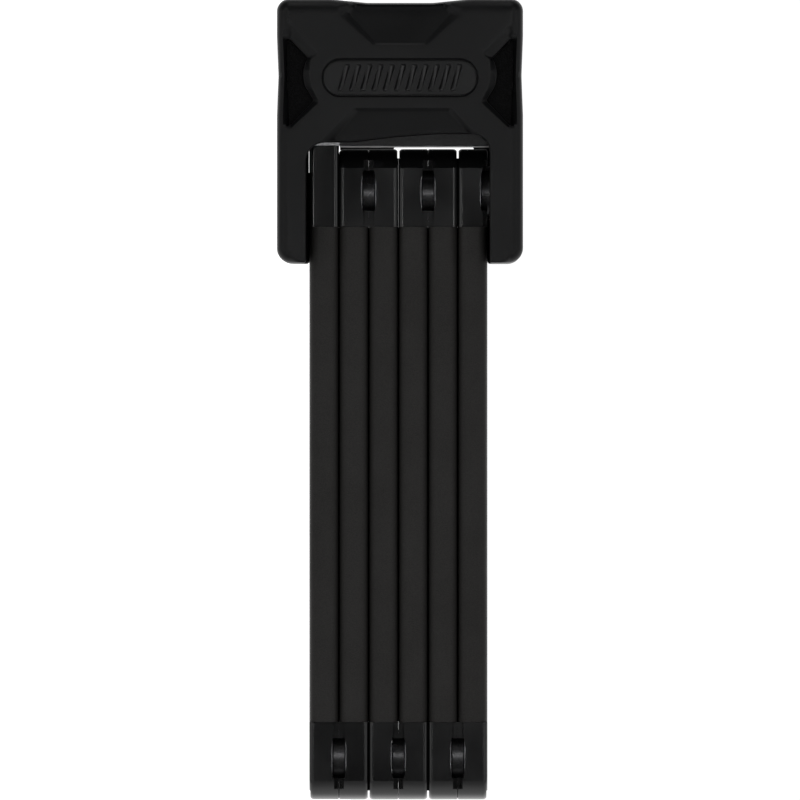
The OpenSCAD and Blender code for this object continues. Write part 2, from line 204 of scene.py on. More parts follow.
def lathe(name, profile, centre, axis, material, steps=64, sharp=32):
    """Turned solid. profile is (radius, height) pairs from axis to axis, or round a ring."""
    turn = Vector((0, 0, 1)).rotation_difference(Vector(axis))
    verts, rings = [], []
    for r, z in profile:
        count = steps if r > 0 else 1
        rings.append(range(len(verts), len(verts) + count))
        for i in range(count):
            a = 2 * math.pi * i / steps
            p = turn @ Vector((r * math.cos(a), r * math.sin(a), z))
            verts.append([(centre[i] + p[i]) * MM for i in range(3)])
    faces = []
    pairs = list(zip(rings, rings[1:]))
    if profile[0][0] > 0:
        pairs.append((rings[-1], rings[0]))
    for low, high in pairs:
        for i in range(steps):
            j = (i + 1) % steps
            if len(low) == 1:
                faces.append((low[0], high[i], high[j]))
            elif len(high) == 1:
                faces.append((low[i], high[0], low[j]))
            else:
                faces.append((low[i], high[i], high[j], low[j]))
    return make_object(name, verts, faces, material, sharp)


# ---- outlines -------------------------------------------------------------------

def rounded(corners, steps=8):
    """Closed outline from (a, b, radius) corners, with each corner an arc."""
    pts = [np.array(c[:2], float) for c in corners]
    out = []
    for i, corner in enumerate(corners):
        p, radius = pts[i], corner[2]
        before, after = pts[i - 1] - p, pts[(i + 1) % len(pts)] - p
        u, v = before / np.linalg.norm(before), after / np.linalg.norm(after)
        half = math.acos(max(-1, min(1, float(u @ v)))) / 2
        if radius <= 0 or half > math.pi / 2 - 0.01:
            out += [tuple(p)] * (steps + 1)
            continue
        reach = min(radius / math.tan(half), 0.49 * np.linalg.norm(before),
                    0.49 * np.linalg.norm(after))
        r = reach * math.tan(half)
        middle = (u + v) / np.linalg.norm(u + v)
        centre = p + middle * r / math.sin(half)
        start, end = p + u * reach - centre, p + v * reach - centre
        a0 = math.atan2(start[1], start[0])
        sweep = (math.atan2(end[1], end[0]) - a0 + math.pi) % (2 * math.pi) - math.pi
        out += [tuple(centre + r * np.array([math.cos(a0 + sweep * k / steps),
                                             math.sin(a0 + sweep * k / steps)]))
                for k in range(steps + 1)]
    return out


def drop_doubles(loop, gap=1e-4):
    """Outline without repeated points."""
    kept = []
    for p in loop:
        if not kept or math.dist(p, kept[-1]) > gap:
            kept.append(tuple(p))
    if math.dist(kept[0], kept[-1]) < gap:
        kept.pop()
    return kept


def refined(loop, gap):
    """Outline with points added so that no edge is longer than the gap."""
    out = []
    for a, b in zip(loop, loop[1:] + loop[:1]):
        parts = max(1, math.ceil(math.dist(a, b) / gap))
        out += [(a[0] + (b[0] - a[0]) * k / parts, a[1] + (b[1] - a[1]) * k / parts)
                for k in range(parts)]
    return out


def normals(loop):
    """Inward unit normals, with mitre stretch, at each point of a counter-clockwise outline."""
    p = np.array(loop)
    edge = np.roll(p, -1, axis=0) - p
    edge /= np.linalg.norm(edge, axis=1)[:, None]
    inward = np.stack([-edge[:, 1], edge[:, 0]], axis=1)
    mean = inward + np.roll(inward, 1, axis=0)
    mean /= np.linalg.norm(mean, axis=1)[:, None]
    stretch = np.sum(mean * inward, axis=1)
    return mean / np.maximum(stretch, 0.5)[:, None]


def area(loop):
    """Signed area of an outline."""
    p = np.array(loop)
    q = np.roll(p, -1, axis=0)
    return float(np.sum(p[:, 0] * q[:, 1] - q[:, 0] * p[:, 1])) / 2


def counter_clockwise(loop):
    """The outline, turned round if it runs clockwise."""
    return loop if area(loop) > 0 else loop[::-1]


def edge_distance(points, loop):
    """Distance from each point to the nearest edge of an outline."""
    a = np.array(loop)[None]
    b = np.roll(np.array(loop), -1, axis=0)[None]
    p = points[:, None]
    ab = b - a
    t = np.clip(np.sum((p - a) * ab, axis=2) / np.maximum(np.sum(ab * ab, axis=2), 1e-12), 0, 1)
    return np.sqrt(np.min(np.sum((p - a - ab * t[..., None]) ** 2, axis=2), axis=1))


def inside(points, loop):
    """True for each point inside an outline."""
    a = np.array(loop)
    b = np.roll(a, -1, axis=0)
    x, y = points[:, 0][:, None], points[:, 1][:, None]
    crosses = (a[:, 1] > y) != (b[:, 1] > y)
    with np.errstate(divide="ignore", invalid="ignore"):
        at = (b[:, 0] - a[:, 0]) * (y - a[:, 1]) / (b[:, 1] - a[:, 1]) + a[:, 0]
    return np.sum(crosses & (x < at), axis=1) % 2 == 1


# ---- relief of the head -----------------------------------------------------------

# Where a hollow's wall bends between its upper and lower outline, and how deep it is there
WALL = [(0.0, 0.0), (0.16, 0.06), (0.84, 0.94), (1.0, 1.0)]


class Hollow:
    """Hollow in the face between an upper and a lower outline; depth is a function of (h, s)."""

    def __init__(self, upper, lower, depth, steps=8):
        self.upper = rounded(upper, steps)
        self.lower = rounded(lower, steps)
        self.depth = depth

    def lines(self):
        """Outlines along which the mesh has its edges."""
        a, b = np.array(self.upper), np.array(self.lower)
        return [drop_doubles([tuple(p) for p in a + (b - a) * t]) for t, _ in WALL]

    def depth_at(self, points):
        """Depth of the hollow at each point."""
        upper, lower = drop_doubles(self.upper), drop_doubles(self.lower)
        from_upper, to_lower = edge_distance(points, upper), edge_distance(points, lower)
        t = from_upper / np.maximum(from_upper + to_lower, 1e-9)
        t = np.interp(t, [w[0] for w in WALL], [w[1] for w in WALL])
        t[inside(points, lower)] = 1
        t[~inside(points, upper)] = 0
        return t * self.depth(points[:, 0], points[:, 1])


def mirrored(corners):
    """The same corners on the other side of the head."""
    return [(h, -s, r) for h, s, r in corners][::-1]


def head_outline(in_latch, in_pivot, lip):
    """Front view of the head between the arms' inner faces; lip is the edge over the links' ends."""
    corners = [
        (HEAD_TOP, -HALF_W, 3.7), (HEAD_TOP, -21.5, 12), (HEAD_TOP - 1.2, -10, 14),
        (HEAD_TOP - 1.2, 10, 14), (HEAD_TOP, 21.5, 12), (HEAD_TOP, HALF_W, 3.7),
        (47, HALF_W, 20), (35, HALF_W - 0.45, 20), (23, HALF_W, 20),
        (-ARM_REACH, HALF_W, 4.5), (-ARM_REACH, in_pivot, 1.0), *lip,
        (-ARM_REACH, in_latch, 1.0), (-ARM_REACH, -HALF_W, 4.5),
        (23, -HALF_W, 20), (35, -HALF_W + 0.45, 20), (47, -HALF_W, 20),
    ]
    return refined(counter_clockwise(drop_doubles(rounded(corners, 9))), 0.6)


def fillet_radius(loop, outer, inner):
    """Large fillet round the outside, small one along the gap between the arms."""
    p = np.array(loop)
    in_gap = (p[:, 0] < 18.5) & (p[:, 1] > -HALF_W + 5) & (p[:, 1] < HALF_W - 5)
    r = np.where(in_gap, inner, outer)
    for _ in range(6):
        r = (np.roll(r, 1) + 2 * r + np.roll(r, -1)) / 4
    return r


def face_points(outline, lines, spacing):
    """Regular points inside the face that keep clear of every line."""
    h = np.arange(-ARM_REACH, HEAD_TOP, spacing)
    s = np.arange(-HALF_W, HALF_W, spacing)
    grid = np.array([(a, b + (i % 2) * spacing / 2) for i, a in enumerate(h) for b in s])
    keep = inside(grid, outline) & (edge_distance(grid, outline) > spacing * 0.6)
    for line in lines:
        keep &= edge_distance(grid, line) > spacing * 0.45
    return grid[keep]


def shell_mesh(name, side, outline, hollows, material, outer=3.6, inner=0.6, spacing=1.5):
    """Half of the head: a face with hollows, rounded edges, side walls and a flat seam."""
    loop = np.array(outline)
    radius = fillet_radius(outline, outer, inner)
    toward = normals(outline)
    face_y = HALF_D

    def relief(points):
        total = np.zeros(len(points))
        for hollow in hollows:
            total += hollow.depth_at(points)
        return total

    steps = 7
    seam = 0.3
    rings = [(loop + toward * seam, np.zeros(len(loop))), (loop, np.full(len(loop), seam))]
    for k in range(steps):
        angle = math.pi / 2 * k / (steps - 1)
        ring = loop + toward * (radius * (1 - math.cos(angle)))[:, None]
        sunk = np.minimum(relief(ring), face_y - seam - 1)
        rings.append((ring, face_y - radius + (radius - sunk) * math.sin(angle)))
    top = rings[-1][0]
    lines = [line for hollow in hollows for line in hollow.lines()]
    extra = face_points(top, lines, spacing)

    verts = [Vector(p) for p in top]
    edges = []
    for line in lines:
        start = len(verts)
        verts += [Vector(p) for p in line]
        edges += [(start + i, start + (i + 1) % len(line)) for i in range(len(line))]
    verts += [Vector(p) for p in extra]
    edges += [(i, (i + 1) % len(top)) for i in range(len(top))]
    points, _, tris, _, _, _ = delaunay_2d_cdt(verts, edges, [], 0, 1e-5)
    points = np.array([tuple(p) for p in points])
    middles = np.array([points[list(t)].mean(axis=0) for t in tris])
    tris = [t for t, ok in zip(tris, inside(middles, top)) if ok]
    depth = relief(points)

    out, faces = [], []
    n = len(loop)
    for ring, y in rings:
        out += [head_point(p[0], p[1], side * v) for p, v in zip(ring, y)]
    for k in range(len(rings) - 1):
        for i in range(n):
            j = (i + 1) % n
            faces.append((k * n + i, k * n + j, (k + 1) * n + j, (k + 1) * n + i))
    base = len(out)
    out += [head_point(p[0], p[1], side * (face_y - d)) for p, d in zip(points, depth)]
    faces += [tuple(base + i for i in t) for t in tris]
    faces.append(tuple(range(n)))
    return make_object(name, out, faces, material, 34)


def front_hollows():
    """Hollows that leave the crossed arms of the relief face standing."""
    top = Hollow(
        [(56.5, -22.5, 2), (56.5, 22.5, 2), (44.2, 8.2, 1.2), (44.2, -8.2, 1.2)],
        [(56.5, -17.2, 2), (56.5, 17.2, 2), (45.0, 7.2, 0.8), (45.0, -7.2, 0.8)],
        lambda h, s: 0.5 + 0.115 * np.clip(h - 44.5, 0, 14))
    low = Hollow(
        [(25.3, -14.2, 1.5), (25.3, 15.6, 1.5), (17.0, 24.0, 1.5), (11.0, 24.0, 1), (11.0, -26.4, 1),
         (14.8, -25.0, 1)],
        [(24.3, -12.4, 1.0), (24.3, 14.2, 1.0), (17.6, 20.2, 1.0), (11.0, 20.2, 1), (11.0, -21.0, 1),
         (14.8, -20.0, 1)],
        lambda h, s: 0.45 + 0.16 * np.clip(25 - h, 0, 14))
    badge = Hollow(
        [(28.4, -23.8, 6.0), (40.4, -23.8, 6.0), (40.4, 23.8, 6.0), (28.4, 23.8, 6.0)],
        [(29.0, -23.2, 5.4), (39.8, -23.2, 5.4), (39.8, 23.2, 5.4), (29.0, 23.2, 5.4)],
        lambda h, s: np.full(len(h), 0.9), steps=12)
    mouth = [(53.0, -35.4, 1.5), (50.2, -32.3, 2.5), (41.6, -24.6, 0.6), (39.9, -27.1, 0.8),
             (36.2, -27.3, 6), (32.2, -26.9, 6), (27.0, -24.3, 0.8), (19.0, -33.0, 1.2),
             (19.8, -35.0, 1.0)]
    well = [(46.2, -34.6, 0.8), (46.2, -33.4, 0.8), (40.2, -27.6, 0.6), (39.2, -28.4, 0.8),
            (36.2, -29.3, 6), (32.4, -28.9, 6), (27.6, -25.9, 0.8), (20.0, -33.0, 0.6),
            (20.4, -34.4, 0.6)]
    floor = [(h - 0.15 * (h > 40), s + 0.3 * (s < -33.5) - 0.3 * (s > -33.5), r) for h, s, r in well]
    wide = lambda h, s: np.full(len(h), 1.5)
    deep = lambda h, s: np.full(len(h), 2.6)
    sides = []
    for flip in (list, mirrored):
        sides.append(Hollow(flip(mouth), flip(well), wide, 6))
        sides.append(Hollow(flip(well), flip(floor), deep, 6))
    return [top, low, badge] + sides


def rear_hollows():
    """Broad shallow panel on the back."""
    panel = Hollow(
        [(50.5, -29, 5), (50.5, 29, 5), (21.5, 29, 5), (21.5, -15, 5), (31, -22, 3), (31, -29, 3)],
        [(49.5, -28, 4), (49.5, 28, 4), (22.5, 28, 4), (22.5, -15.4, 4), (32, -22.4, 3), (32, -28, 3)],
        lambda h, s: np.full(len(h), 0.6))
    return [panel]


# ---- materials --------------------------------------------------------------------

def shader(name, colour, rough, metal=0.0, coat=0.0, shine=0.5):
    """New material with its shader and node tree."""
    mat = bpy.data.materials.new(name)
    mat.use_nodes = True
    tree = mat.node_tree
    bsdf = tree.nodes["Principled BSDF"]
    bsdf.inputs["Base Color"].default_value = (*colour, 1)
    bsdf.inputs["Roughness"].default_value = rough
    bsdf.inputs["Metallic"].default_value = metal
    bsdf.inputs["Coat Weight"].default_value = coat
    bsdf.inputs["Specular IOR Level"].default_value = shine
    bsdf.inputs["Coat Roughness"].default_value = 0.12
    return mat, tree, bsdf


def noise(tree, scale, detail=4.0, stretch=(1, 1, 1)):
    """Noise in object space; scale is in cells per metre."""
    coords = tree.nodes.new("ShaderNodeTexCoord")
    mapping = tree.nodes.new("ShaderNodeMapping")
    mapping.inputs["Scale"].default_value = stretch
    tex = tree.nodes.new("ShaderNodeTexNoise")
    tex.inputs["Scale"].default_value = scale
    tex.inputs["Detail"].default_value = detail
    tree.links.new(coords.outputs["Object"], mapping.inputs["Vector"])
    tree.links.new(mapping.outputs["Vector"], tex.inputs["Vector"])
    return tex.outputs["Fac"]


def ramp(tree, value, stops):
    """Colour ramp over a value."""
    node = tree.nodes.new("ShaderNodeValToRGB")
    node.color_ramp.elements[0].position = stops[0][0]
    node.color_ramp.elements[0].color = (*stops[0][1], 1)
    node.color_ramp.elements[1].position = stops[-1][0]
    node.color_ramp.elements[1].color = (*stops[-1][1], 1)
    for position, colour in stops[1:-1]:
        node.color_ramp.elements.new(position).color = (*colour, 1)
    tree.links.new(value, node.inputs["Fac"])
    return node.outputs["Color"]


def remap(tree, value, low, high):
    """Value from 0-1 to a new range."""
    node = tree.nodes.new("ShaderNodeMapRange")
    node.inputs["From Min"].default_value = 0.3
    node.inputs["From Max"].default_value = 0.7
    node.inputs["To Min"].default_value = low
    node.inputs["To Max"].default_value = high
    tree.links.new(value, node.inputs["Value"])
    return node.outputs["Result"]


def bump(tree, bsdf, height, strength, distance):
    """Bump of a height in millimetres."""
    node = tree.nodes.new("ShaderNodeBump")
    node.inputs["Strength"].default_value = strength
    node.inputs["Distance"].default_value = distance * MM
    tree.links.new(height, node.inputs["Height"])
    tree.links.new(node.outputs["Normal"], bsdf.inputs["Normal"])


def grained(name, dark, light, rough, grain, height, metal=0.0, coat=0.0, shine=0.5, stretch=(1, 1, 1)):
    """Material with fine grain in its colour, gloss and surface."""
    mat, tree, bsdf = shader(name, dark, rough[0], metal, coat, shine)
    fine = noise(tree, grain, 3, stretch)
    broad = noise(tree, 60, 3)
    tree.links.new(ramp(tree, fine, [(0.35, dark), (0.65, light)]), bsdf.inputs["Base Color"])
    tree.links.new(remap(tree, broad, *rough), bsdf.inputs["Roughness"])
    bump(tree, bsdf, fine, 0.5, height)
    return mat


def textured_rubber():
    """Rubber with raised dots in close rows."""
    mat, tree, bsdf = shader("textured_rubber", (0.002, 0.002, 0.002), 0.7, shine=0.12)
    coords = tree.nodes.new("ShaderNodeTexCoord")
    dots = tree.nodes.new("ShaderNodeTexVoronoi")
    dots.inputs["Scale"].default_value = 1900
    dots.inputs["Randomness"].default_value = 0.75
    tree.links.new(coords.outputs["Object"], dots.inputs["Vector"])
    flip = tree.nodes.new("ShaderNodeMath")
    flip.operation = "SUBTRACT"
    flip.inputs[0].default_value = 1
    tree.links.new(dots.outputs["Distance"], flip.inputs[1])
    bump(tree, bsdf, flip.outputs["Value"], 0.7, 0.2)
    # Painted highlight: the top of each raised dot is painted lighter than the rubber between the dots
    tree.links.new(ramp(tree, dots.outputs["Distance"],
                        [(0.1, (0.008, 0.008, 0.009)), (0.6, (0.002, 0.002, 0.002))]),
                   bsdf.inputs["Base Color"])
    return mat


COVER = grained("cover_moulding", (0.0058, 0.006, 0.0066), (0.0078, 0.0081, 0.0088), (0.36, 0.46), 2600, 0.02,
                shine=0.3)
BADGE = grained("badge_moulding", (0.0075, 0.0077, 0.0082), (0.0095, 0.0098, 0.0105), (0.28, 0.36), 2600,
                0.015, shine=0.4)
SLEEVE = grained("sleeve_coating", (0.019, 0.0178, 0.0168), (0.034, 0.032, 0.030), (0.6, 0.72), 3200, 0.05)
CAP = grained("cap_gloss", (0.005, 0.0051, 0.0055), (0.0065, 0.0067, 0.0071), (0.16, 0.24), 900, 0.006,
              coat=0.2)
RIVET = grained("rivet_zinc", (0.14, 0.14, 0.145), (0.2, 0.2, 0.205), (0.24, 0.32), 1500, 0.01, metal=1.0)
BAR = grained("bar_steel", (0.22, 0.22, 0.23), (0.32, 0.32, 0.33), (0.3, 0.45), 900, 0.01, metal=1.0,
              stretch=(0.05, 1, 1))
CORE = grained("core_coat", (0.012, 0.012, 0.013), (0.02, 0.02, 0.021), (0.4, 0.55), 1500, 0.02)
PLATE = grained("plate_steel", (0.3, 0.3, 0.31), (0.4, 0.4, 0.41), (0.3, 0.42), 1200, 0.01, metal=1.0,
                stretch=(0.08, 1, 1))
SCREW = grained("screw_zinc", (0.14, 0.14, 0.15), (0.22, 0.22, 0.23), (0.28, 0.4), 1500, 0.01, metal=1.0)
BRASS = grained("brass", (0.52, 0.37, 0.14), (0.62, 0.46, 0.2), (0.25, 0.38), 1100, 0.01, metal=1.0)
SHUTTER = grained("shutter_moulding", (0.015, 0.015, 0.016), (0.02, 0.02, 0.021), (0.38, 0.5), 2600, 0.02)
RUBBER = textured_rubber()

BY_SLOT = {
    "cover_plastic": COVER, "badge_plastic": BADGE, "insert_rubber": RUBBER, "shutter_plastic": SHUTTER,
    "sleeve_soft": SLEEVE, "cap_gloss": CAP, "bar_steel": BAR, "rivet_steel": RIVET,
    "core_steel": CORE, "plate_steel": PLATE, "screw_steel": SCREW, "brass": BRASS,
}


def dress_frame():
    """Gives every CAD node the material of its slot."""
    for part in frame["record"]["subparts"]:
        mesh = frame["nodes"][part["node"]].data
        mesh.materials.clear()
        mesh.materials.append(BY_SLOT[part["material_slot"]])


# ---- head pieces -----------------------------------------------------------------------

def head_cutters(side):
    """Rooms for the steel frame, cut from one half of the head."""
    plates = [cad_box("side_plate_latch"), cad_box("side_plate_pivot")]
    edge = 0.02
    y0, y1 = sorted((-side * 2, side * (CORE_Y + edge)))
    floor_z = cad_box("tongue_guide")[0][2] - edge
    cutters = [head_box("room", CORE_UNDER - 8, CORE_TOP + edge, y0, y1, floor_z, CORE_HIGH[2] + edge, COVER)]
    for low, high in plates:
        y0, y1 = sorted((-side * 2, side * (high[1] + edge)))
        cutters.append(box_solid("plate_room", (low[0] - edge, y0, low[2] - edge),
                                 (high[0] + edge, y1, high[2] + edge), COVER))
    cutters.append(lathe("washer_room", [(0, -2), (8.3, -2), (8.3, 3), (0, 3)],
                         (NEAR_X, 0, cad_box("link_1_end_caps")[1][2] + 0.9), (0, 0, 1), COVER))
    low, high = cad_box("keyhole_shutter")
    travel = next(j["range_m"][1] for j in frame["record"]["behaviour"]["joints"]
                  if j["name"] == "shutter_slide") / MM
    track_x = high[0] + 0.1
    for lip, deep in ((0.1, 0.9), (-1.3, 6.0)):
        cutters.append(box_solid("track", (track_x - deep, low[1] - lip, low[2] - 0.4),
                                 (track_x, high[1] + lip, high[2] + travel + 0.4), COVER))
    cutters.append(lathe("key_room", [(0, 0), (6, 0), (6, 4), (0, 4)],
                         (track_x - 1, 0, MID_Z), (1, 0, 0), COVER))
    return cutters


def tongue_cutter():
    """Way for the last link's tongue through the back."""
    low, high = (b[2] for b in cad_box("link_6_end_caps"))
    return head_box("tongue_way", CORE_UNDER - 8, 28.4, -2, HALF_D + 5, low - 0.38, high + 0.5, COVER)


def screw_wells():
    """Wells over the four cover screws."""
    low, high = cad_box("cover_screws")
    reach = 3
    return [lathe("well", [(0, 0), (3, 0), (3, 3.0), (3.6, 3.5), (3.6, 9), (0, 9)],
                  (x, HALF_D - 2.8, z), (0, 1, 0), COVER)
            for x in (low[0] + reach, high[0] - reach) for z in (low[2] + reach, high[2] - reach)]


def make_covers():
    """Front and back mouldings of the head."""
    lip = [(17.4, 27.1, 5.2), (17.4, 11, 10), (16.5, -1, 12), (14.9, -14, 10), (14.9, -28.4, 5.6)]
    front = shell_mesh("cover_front_shell", -1, head_outline(-28.4, 27.1, lip), front_hollows(), COVER)
    boolean(front, head_cutters(-1), sharp=34)
    place(front, "head", "cover_plastic", "cover_front")
    lip = [(13.26, 26.53, 1.5), (13.26, 22.6, 0.3), (15.6, 21.8, 0.3), (15.6, -1.2, 0.3),
           (13.26, -2.0, 0.3), (13.26, -27.52, 1.5)]
    rear = shell_mesh("cover_rear_shell", 1, head_outline(-27.52, 26.53, lip), rear_hollows(), COVER)
    boolean(rear, head_cutters(1) + [tongue_cutter()] + screw_wells(), sharp=34)
    place(rear, "head", "cover_plastic", "cover_rear")


def make_badge():
    """Oval plate with a rounded rim and a row of plain slanted ribs."""
    low, high = cad_box("badge_plate")
    h0, h1 = NEAR_X - high[0], NEAR_X - low[0]
    mid_h, half_h = (h0 + h1) / 2, (h1 - h0) / 2 - 0.75
    half_l = (high[2] - low[2]) / 2 - 0.75
    face = high[1]

    def oval(inset, y):
        r = half_h - inset
        corners = [(mid_h - r, -half_l + inset, r), (mid_h + r, -half_l + inset, r),
                   (mid_h + r, half_l - inset, r), (mid_h - r, half_l - inset, r)]
        return [head_point(h, s, y) for h, s in drop_doubles(rounded(corners, 14))]

    loops = [oval(0, face), oval(0, face - 0.12), oval(0.1, face - 0.2), oval(0.35, face - 0.24)]
    verts, faces = stack(loops)
    plate = make_object("badge_oval", verts, faces, BADGE)
    place(plate, "head", "badge_plastic", "badge_plate")
    rib_h, rib_w, lean, count = 4.1, 0.8, 1.3, 11
    for i in range(count):
        s = (i - (count - 1) / 2) * 3.4
        corners = [(mid_h - rib_h, s - rib_w - lean, 0.5), (mid_h + rib_h, s - rib_w + lean, 0.5),
                   (mid_h + rib_h, s + rib_w + lean, 0.5), (mid_h - rib_h, s + rib_w - lean, 0.5)]
        ring = drop_doubles(rounded(corners, 5))
        loops = []
        for depth, tall, wide in ((0.1, 1.0, 1.0), (0.3, 1.0, 0.98), (0.66, 0.96, 0.72), (0.79, 0.93, 0.5)):
            loops.append([head_point(mid_h + (h - mid_h) * tall, s + (v - s) * wide, face - depth)
                          for h, v in ring])
        verts, faces = stack(loops)
        place(make_object(f"badge_rib_{i + 1}", verts, faces, BADGE), "head", "badge_plastic")


def copy_of(node, name, material, bevel):
    """New object with a CAD node's form and rounded edges."""
    obj = bpy.data.objects.new(name, frame["nodes"][node].data.copy())
    bpy.context.scene.collection.objects.link(obj)
    obj.data.materials.clear()
    obj.data.materials.append(material)
    obj.data.transform(frame["nodes"][node].matrix_world)
    bm = bmesh.new()
    bm.from_mesh(obj.data)
    bmesh.ops.remove_doubles(bm, verts=bm.verts, dist=2e-6)
    bmesh.ops.dissolve_limit(bm, angle_limit=math.radians(2), verts=bm.verts, edges=bm.edges)
    bm.to_mesh(obj.data)
    bm.free()
    return add_bevel(obj, bevel, 2, 40)


def make_shutter():
    """Keyhole shutter with softened edges."""
    place(copy_of("keyhole_shutter", "shutter_slide_cover", SHUTTER, 0.12),
          "shutter", "shutter_plastic", "keyhole_shutter")


# ---- links ---------------------------------------------------------------------------------

HALF_LINK = 11.0    # half the width over the sleeve
END_R = 13.2        # round end of a cap about its hinge axis
CAP_T = 8.4         # thickness of a cap at its stepped tip
SLEEVE_T = 9.0      # thickness of the sleeve, which is also the links' pitch
CAP_LEN = 10.5      # from the hinge axis to the sleeve
TONGUE = 16.0       # from the hinge axis to the tip of the last link's cap
STEEL_W = 9.8       # half the width of the bar
STEEL_END = 12.0    # round end of the bar about its hinge axis
STEEL_T = 5.0       # thickness of the bar


def link_z(k):
    """Level of a link's middle."""
    low, high = cad_box(f"link_{k}_bar")
    return (low[2] + high[2]) / 2


def end_outline(half, end_r, length, steps=22):
    """Outline of a link's end about its hinge axis, pointing along +X."""
    a = math.asin(half / end_r)
    arc = [(end_r * math.cos(t), end_r * math.sin(t)) for t in np.linspace(-a, a, steps)]
    return [(-length, -half)] + arc + [(-length, half)]


def soft_slab(outline, thick, r, r_top, steps=5):
    """Loops of a slab with rounded lower and upper edges; outline(inset) gives its outline."""
    turns = [math.pi / 2 * k / steps for k in range(steps + 1)]
    loops = [(r * (1 - math.sin(a)), r * (1 - math.cos(a)) - thick / 2) for a in turns]
    loops += [(r_top * (1 - math.sin(a)), thick / 2 - r_top * (1 - math.cos(a))) for a in reversed(turns)]
    return [[(x * MM, y * MM, z * MM) for x, y in outline(inset)] for inset, z in loops]


def disc(name, r0, r1, z0, z1, material):
    """Short cone about the hinge axis."""
    return lathe(name, [(0, z0), (r0, z0), (r1, z1), (0, z1)], (0, 0, 0), (0, 0, 1), material, 72)


def flat_block(name, outline, z0, z1):
    """Block of a cap between two levels."""
    loops = [[(x * MM, y * MM, z * MM) for x, y in outline] for z in (z0, z1)]
    return make_object(name, *stack(loops), CAP)


def cap_master(tongue=0.0, stepped=True):
    """End cap about its own hinge axis, pointing along +X, its riveted face up."""
    full = SLEEVE_T - 0.02
    if tongue:
        outline = lambda inset: [(-CAP_LEN, -HALF_LINK + inset), (tongue - inset, -HALF_LINK + inset),
                                 (tongue - inset, HALF_LINK - inset), (-CAP_LEN, HALF_LINK - inset)]
        steel = [(-CAP_LEN - 1, -STEEL_W), (tongue + 2, -STEEL_W), (tongue + 2, STEEL_W),
                 (-CAP_LEN - 1, STEEL_W)]
        cap = make_object("cap_master", *stack(soft_slab(outline, full, 1.4, 1.4)), CAP)
        return boolean(cap, [flat_block("steel", steel, -STEEL_T / 2, STEEL_T / 2)])
    outline = lambda inset: end_outline(HALF_LINK - inset, END_R - inset, CAP_LEN)
    cap = make_object("cap_master", *stack(soft_slab(outline, full, 1.4, 0.5)), CAP)
    steel = end_outline(STEEL_W, STEEL_END, CAP_LEN + 1)
    wall = -STEEL_T / 2 + 0.01
    dish = boolean(lathe("dish", [(0, 2.2), (11.3, 2.2), (13.8, 3.3), (14.7, 4.5), (14.7, 6), (0, 6)],
                         (0, 0, 0), (0, 0, 1), CAP, 72), [box_solid("wall", (9.8, -16, 0), (16, 16, 8), CAP)])
    cutters = [flat_block("steel", steel, -STEEL_T / 2, STEEL_T / 2), dish,
               box_solid("channel", (-CAP_LEN - 1, -12, 2.8), (-5, 12, 6), CAP),
               disc("bore", 6.8, 6.8, -6, wall, CAP)]
    if stepped:
        cutters.append(box_solid("tip_step", (10.3, -12, -6), (16, 12, -CAP_T / 2), CAP))
    boolean(cap, cutters)
    low, high = STEEL_T / 2 + 0.02, full / 2 - 0.01
    ridge = [(6.6, -4.7), (9.9, -4.7), (9.9, 4.7), (6.6, 4.7)]
    heel = [(0.02 - CAP_LEN, -8.9), (-5.6, -8.9), (-5.6, 8.9), (0.02 - CAP_LEN, 8.9)]
    for name, outline in (("ridge", ridge), ("heel", heel)):
        block = boolean(flat_block(name, outline, low, high), [disc("washer_way", 8.1, 8.1, 0, 6, CAP)])
        boolean(cap, [block], "UNION")
    return cap


def stamp(master, name, x, z, flip_x, flip_z):
    """Copy of a master mesh, mirrored as asked and moved into place."""
    obj = bpy.data.objects.new(name, master.data.copy())
    bpy.context.scene.collection.objects.link(obj)
    sx, sz = (-1 if flip_x else 1), (-1 if flip_z else 1)
    for v in obj.data.vertices:
        v.co = (v.co.x * sx + x * MM, v.co.y, v.co.z * sz + z * MM)
    if sx * sz < 0:
        obj.data.flip_normals()
    return obj


def sleeve_master():
    """Crowned tube from -1 to 1 along X, with softened ends, about the bar's middle."""
    corners = [(-HALF_LINK, -SLEEVE_T / 2 + 0.45, 2.6), (-4.0, -SLEEVE_T / 2, 30),
               (4.0, -SLEEVE_T / 2, 30), (HALF_LINK, -SLEEVE_T / 2 + 0.45, 2.6),
               (HALF_LINK, SLEEVE_T / 2 - 0.45, 2.6), (4.0, SLEEVE_T / 2, 30),
               (-4.0, SLEEVE_T / 2, 30), (-HALF_LINK, SLEEVE_T / 2 - 0.45, 2.6)]
    ring = np.array(drop_doubles(rounded(corners, 8)))
    toward = normals(counter_clockwise([tuple(p) for p in ring]))
    half = (FAR_X - NEAR_X) / 2 - CAP_LEN
    soft = 0.15
    loops = []
    for x, inset in ((-half, soft), (-half + 0.05, 0.05), (-half + soft, 0), (0, 0),
                     (half - soft, 0), (half - 0.05, 0.05), (half, soft)):
        loops.append([(x * MM, y * MM, z * MM) for y, z in ring + toward * inset])
    verts, faces = stack(loops)
    sleeve = make_object("sleeve_master", verts, faces, SLEEVE)
    core = box_solid("core", (-half - 1, -STEEL_W, -STEEL_T / 2), (half + 1, STEEL_W, STEEL_T / 2), SLEEVE)
    return boolean(sleeve, [core])


